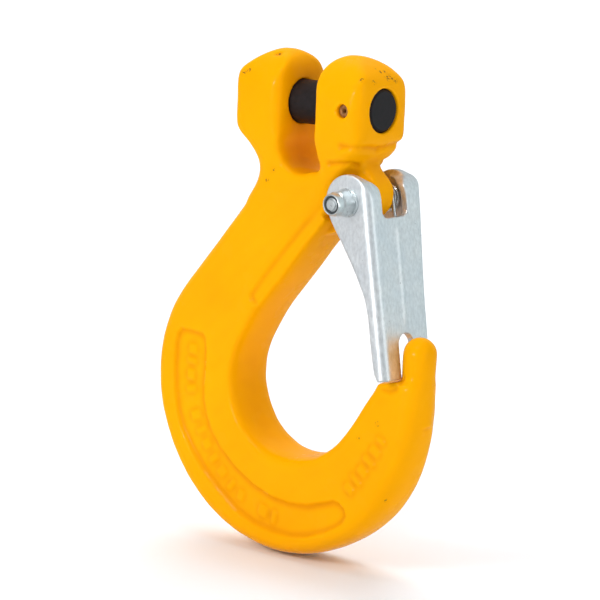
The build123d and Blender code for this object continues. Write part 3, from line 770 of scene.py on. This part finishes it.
def build_bolt():
    end = -(WIDTH_TOP + WASHER_T + NUT_H + 0.2)
    seat = WIDTH_TOP + WASHER_T
    top = seat + HEAD_H
    rings = [(0.3, end), (1.25, end), (1.5, end + 0.05), (THREAD_ROOT_R, end + 0.22)]
    y = end + 0.45
    while y < -WIDTH_TOP - 1.0:
        rings += [(THREAD_ROOT_R, y), (THREAD_R, y + 0.22),
                  (THREAD_R, y + 0.34), (THREAD_ROOT_R, y + 0.56)]
        y += THREAD_PITCH
    rings += [(THREAD_R, -WIDTH_TOP - 0.2), (THREAD_R, seat)]
    rings += [(2.2, seat), (4.6, seat, HALF_FLATS - 0.1), (4.6, seat + 0.1, HALF_FLATS),
              (4.6, top - 0.62, HALF_FLATS), (3.95, top - 0.3, HALF_FLATS),
              (3.3, top - 0.02), (3.0, top), (0.3, top)]
    obj = lathe("pivot_bolt", rings, 96, closed=False, hex_turn=math.radians(10))
    sharp_by_angle(obj, 38)
    hand_over(obj, FASTENER, "latch", "latch_bolt")


# radius, distance out from the washer, half flats where hexagonal
NUT_RINGS = [
    (2.02, 0.0), (3.6, 0.0), (4.15, 0.35, HALF_FLATS), (4.15, 3.55, HALF_FLATS),
    (3.75, 4.05, HALF_FLATS), (3.42, 4.3), (3.26, 4.42), (3.26, 5.9), (3.16, 6.35),
    (2.98, 6.56), (2.84, NUT_H), (2.70, 6.52), (2.62, 6.32), (2.6, 6.25), (2.02, 6.25)]


def build_nut():
    seat = -(WIDTH_TOP + WASHER_T)
    rings = [(radius, seat - out, *flats) for radius, out, *flats in NUT_RINGS]
    obj = lathe("lock_nut", rings, 144, hex_turn=math.radians(-20))
    sharp_by_angle(obj, 30)
    hand_over(obj, FASTENER, "latch", "latch_nut")


# ---------------------------------------------------------------------------
# spring: same path as the CAD wire, in two halves
# ---------------------------------------------------------------------------
WIRE_R = 0.6
COIL_R = 3.6
COIL_IN = 4.75                              # y where a coil starts
COIL_PITCH = 1.32
BRIDGE_OUT = CHEEK_R - SHEET - WIRE_R - 0.03  # bridge lies just inside the web
BRIDGE_DOWN = 15.5
BEND_R = 1.6
LEG_LENGTH = 9.3
LEG_ANGLE = -math.radians(163)
END_ROUND = 0.12


def from_pivot(out, down, y):
    return PIVOT + WEB_OUT * out + WEB_DOWN * down + np.array([0, y, 0])


def spring_path():
    """Points of the +y half from the middle of the bridge, and the y where its coil ends"""
    slope = math.atan(COIL_PITCH / (2 * math.pi * COIL_R))
    reach = math.hypot(BRIDGE_OUT, BRIDGE_DOWN)
    start_angle = math.atan2(BRIDGE_DOWN, BRIDGE_OUT) - math.acos(COIL_R / reach)
    turn = start_angle - LEG_ANGLE + 4 * math.pi
    arm = math.sqrt(reach ** 2 - COIL_R ** 2)
    arm_length = (arm - BEND_R * (1 - math.sin(slope))) / math.cos(slope)
    bridge_y = COIL_IN - BEND_R * math.cos(slope) - arm_length * math.sin(slope)
    coil_out = COIL_IN + COIL_PITCH * turn / (2 * math.pi)

    def heading(angle, y):
        out = math.sin(angle) * math.cos(slope)
        down = -math.cos(angle) * math.cos(slope)
        return WEB_OUT * out + WEB_DOWN * down + np.array([0, y, 0])

    def on_coil(angle, y):
        return from_pivot(COIL_R * math.cos(angle), COIL_R * math.sin(angle), y)

    pts = [from_pivot(BRIDGE_OUT, BRIDGE_DOWN, y) for y in (0, bridge_y * 0.5)]
    # bend from the bridge into the arm
    arm_way = heading(start_angle, 0) / math.cos(slope)
    centre = from_pivot(BRIDGE_OUT, BRIDGE_DOWN, bridge_y) + arm_way * BEND_R
    for i in range(13):
        g = (math.pi / 2 - slope) * i / 12
        pts.append(centre - arm_way * (BEND_R * math.cos(g))
                   + np.array([0, BEND_R * math.sin(g), 0]))
    # straight arm
    bend_end = pts[-1]
    coil_start = on_coil(start_angle, COIL_IN)
    for i in range(1, 6):
        pts.append(bend_end + (coil_start - bend_end) * i / 6)
    # coil
    steps = 150
    for i in range(steps + 1):
        pts.append(on_coil(start_angle - turn * i / steps,
                           COIL_IN + (coil_out - COIL_IN) * i / steps))
    # straight leg
    coil_end = pts[-1]
    for i in range(1, 7):
        pts.append(coil_end + heading(LEG_ANGLE, math.sin(slope)) * LEG_LENGTH * i / 6)
    return np.array(pts), coil_out


def tube(name, pts, radius, seg=20):
    tangents = np.gradient(pts, axis=0)
    tangents /= np.linalg.norm(tangents, axis=1)[:, None]
    across = np.array([1.0, 0, 0])
    rings = []
    for point, tangent in zip(pts, tangents):
        across = across - tangent * (across @ tangent)
        across /= np.linalg.norm(across)
        rings.append((point, across, np.cross(tangent, across), radius))
    # slightly rounded cut at the free end
    point, u, v, _ = rings[-1]
    rings[-1] = (point - tangents[-1] * END_ROUND, u, v, radius)
    rings.append((point, u, v, radius - END_ROUND))
    verts = []
    for point, u, v, ring_r in rings:
        for k in range(seg):
            a = 2 * math.pi * k / seg
            verts.append(point + ring_r * (u * math.cos(a) + v * math.sin(a)))
    return mesh_object(name, verts, ring_faces(len(rings), seg, closed=False))


def build_spring():
    path, coil_out = spring_path()
    for side, name in ((1, "spring_right_half"), (-1, "spring_left_half")):
        pts = path.copy()
        pts[:, 1] *= side
        obj = tube(name, pts, WIRE_R)
        fix_normals(obj)
        sharp_by_angle(obj, 50)
        paint(obj, WIRE)
        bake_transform(obj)
        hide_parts("latch_spring")


# ---------------------------------------------------------------------------
# cross pin, and the CAD pieces kept with a finish and soft edges
# ---------------------------------------------------------------------------
def build_retainer():
    """Rolled pin with a bore, mirrored about y = 0"""
    end = -10.4
    rings = [(0.62, end + 0.35), (0.85, end + 0.06), (1.3, end), (1.62, end + 0.03),
             (1.88, end + 0.22), (1.98, end + 0.6)]
    rings += [(radius, -y) for radius, y in reversed(rings)]
    obj = lathe("cross_pin_roll", rings, 64, centre=(CROSS_PIN_X, 0.0))
    hand_over(obj, SPRING_PIN, "hook", "load_pin_retainer")


def dress(node, mat, bevel):
    obj = nodes[node]
    paint(obj, mat)
    weld = obj.modifiers.new("weld", "WELD")
    weld.merge_threshold = 2e-6
    soft = obj.modifiers.new("soft_edges", "BEVEL")
    soft.width = bevel * MM
    soft.segments = 3
    soft.limit_method = "ANGLE"
    soft.angle_limit = math.radians(35)
    shading = obj.modifiers.new("even_shading", "WEIGHTED_NORMAL")
    shading.keep_sharp = True
    obj.data.polygons.foreach_set("use_smooth", [True] * len(obj.data.polygons))


build_hook()
build_latch()
build_bolt()
build_nut()
build_spring()
dress("load_pin", BLACK, bevel=0.35)
build_retainer()
dress("latch_washer", FASTENER, bevel=0.15)
dress("latch_nut_insert", NYLON, bevel=0.12)

# ---------------------------------------------------------------------------
# stage
# ---------------------------------------------------------------------------
scene = bpy.context.scene
scene.view_settings.view_transform = "Standard"
scene.view_settings.look = "None"
scene.view_settings.exposure = 0.0

# view: turn about z, tilt down, roll
TURN, TILT, ROLL = math.radians(40.2), math.radians(10.2), math.radians(2.0)
VIEW_SIDE = np.array([math.cos(TURN), math.sin(TURN), 0.0])
VIEW_BACK = np.array([-math.sin(TURN), math.cos(TURN), 0.0])


def build_world():
    """Soft light for matt surfaces, a graded surround for reflections, white for the camera"""
    world = bpy.data.worlds.new("studio")
    scene.world = world
    world.use_nodes = True
    tree = world.node_tree
    tree.nodes.clear()
    link = tree.links.new

    def backdrop(strength):
        node = tree.nodes.new("ShaderNodeBackground")
        node.inputs["Color"].default_value = (1, 1, 1, 1)
        node.inputs["Strength"].default_value = strength
        return node

    soft = backdrop(strength=0.52)
    surround = backdrop(strength=1.0)
    seen = backdrop(strength=1.0)
    coord = tree.nodes.new("ShaderNodeTexCoord")
    toward = tree.nodes.new("ShaderNodeVectorMath")
    toward.operation = "DOT_PRODUCT"
    toward.inputs[1].default_value = (0.66, 0.75, 0.03)    # bright end of the surround
    link(coord.outputs["Generated"], toward.inputs[0])
    span = tree.nodes.new("ShaderNodeMapRange")
    link(toward.outputs["Value"], span.inputs["Value"])
    span.inputs["From Min"].default_value = -1.0
    span.inputs["From Max"].default_value = 1.0
    ramp = tree.nodes.new("ShaderNodeValToRGB")
    link(span.outputs["Result"], ramp.inputs["Fac"])
    stops = ramp.color_ramp.elements
    stops[0].position = 0.05
    stops[0].color = (0.55, 0.555, 0.565, 1)
    stops[1].position = 0.95
    stops[1].color = (0.68, 0.77, 0.785, 1)
    stops.new(0.5).color = (0.42, 0.44, 0.45, 1)
    link(ramp.outputs["Color"], surround.inputs["Color"])
    rays = tree.nodes.new("ShaderNodeLightPath")
    shader = soft
    for ray, over in (("Is Glossy Ray", surround), ("Is Camera Ray", seen)):
        mix = tree.nodes.new("ShaderNodeMixShader")
        link(rays.outputs[ray], mix.inputs["Fac"])
        link(shader.outputs[0], mix.inputs[1])
        link(over.outputs[0], mix.inputs[2])
        shader = mix
    out = tree.nodes.new("ShaderNodeOutputWorld")
    link(shader.outputs[0], out.inputs["Surface"])


def build_floor():
    """Floor that sweeps up into a backdrop behind the object, square to the camera"""
    level = cad_lo[2] * 1000 - 0.6
    sweep_start, sweep_r, half_width = 1200, 700, 3500
    # distance back, height
    profile = [(-3000, 0), (-1500, 0), (0, 0), (sweep_start, 0)]
    profile += [(sweep_start + sweep_r * math.sin(a), sweep_r - sweep_r * math.cos(a))
                for a in np.linspace(0.12, math.pi / 2, 12)]
    profile.append((sweep_start + sweep_r, 2600))
    verts = [VIEW_BACK * depth + VIEW_SIDE * across + np.array([0, 0, level + height])
             for depth, height in profile for across in (-half_width, half_width)]
    faces = [(2 * i, 2 * i + 1, 2 * i + 3, 2 * i + 2) for i in range(len(profile) - 1)]
    floor = mesh_object("studio_floor", verts, faces)
    paint(floor, floor_paint())
    floor.visible_glossy = False


def area(name, at, size, power, aim=(0, 0, -0.06), size_y=None, diffuse=True, glossy=True):
    """Area lamp, in metres and watts"""
    lamp = bpy.data.lights.new(name, "AREA")
    lamp.shape = "RECTANGLE"
    lamp.size = size
    lamp.size_y = size_y or size
    lamp.energy = power
    obj = bpy.data.objects.new(name, lamp)
    scene.collection.objects.link(obj)
    obj.location = at
    way = Vector(aim) - Vector(at)
    obj.rotation_euler = way.to_track_quat("-Z", "Y").to_euler()
    obj.visible_diffuse = diffuse
    obj.visible_glossy = glossy


def build_lamps():
    area("key", at=(-0.45, -1.25, 0.70), size=0.6, power=10.4, glossy=False)
    area("fill", at=(1.3, -0.45, 0.15), size=0.8, power=3.7, glossy=False)
    area("top", at=(0.0, 0.1, 1.3), size=0.9, power=4.9, glossy=False)
    area("floor_wash", at=(-0.9, 1.1, 1.6), aim=(-0.7, 0.9, -0.14), size=1.6, power=24,
         glossy=False)
    # narrow lamps that only draw the highlight lines
    area("strip_front", at=(-0.08, -1.4, 0.10), size=0.10, size_y=0.12, power=6.5,
         diffuse=False)
    area("strip_top", at=(0.10, -1.0, 1.2), aim=(0, 0, 0), size=0.5, size_y=0.10, power=8,
         diffuse=False)
    area("strip_right", at=(1.4, 0.04, 0.12), size=0.16, size_y=0.5, power=1.6,
         diffuse=False)


def build_camera():
    distance = 850.0
    # where the origin sits in view, from the middle of the frame
    origin_right, origin_up = 6.03296, 57.97528
    forward = np.array([-math.sin(TURN) * math.cos(TILT), math.cos(TURN) * math.cos(TILT),
                        -math.sin(TILT)])
    level_up = np.array([-math.sin(TURN) * math.sin(TILT), math.cos(TURN) * math.sin(TILT),
                         math.cos(TILT)])
    right = math.cos(ROLL) * VIEW_SIDE + math.sin(ROLL) * level_up
    up = -math.sin(ROLL) * VIEW_SIDE + math.cos(ROLL) * level_up
    eye = -(forward * distance + right * origin_right + up * origin_up)
    data = bpy.data.cameras.new("photo_camera")
    data.sensor_width = 36.0
    data.lens = 173.298
    data.clip_start = 0.05
    data.clip_end = 20
    camera = bpy.data.objects.new("photo_camera", data)
    scene.collection.objects.link(camera)
    rows = [(right[i], up[i], -forward[i], eye[i] * MM) for i in range(3)]
    camera.matrix_world = Matrix((*rows, (0, 0, 0, 1)))
    scene.camera = camera


build_world()
build_floor()
build_lamps()
build_camera()
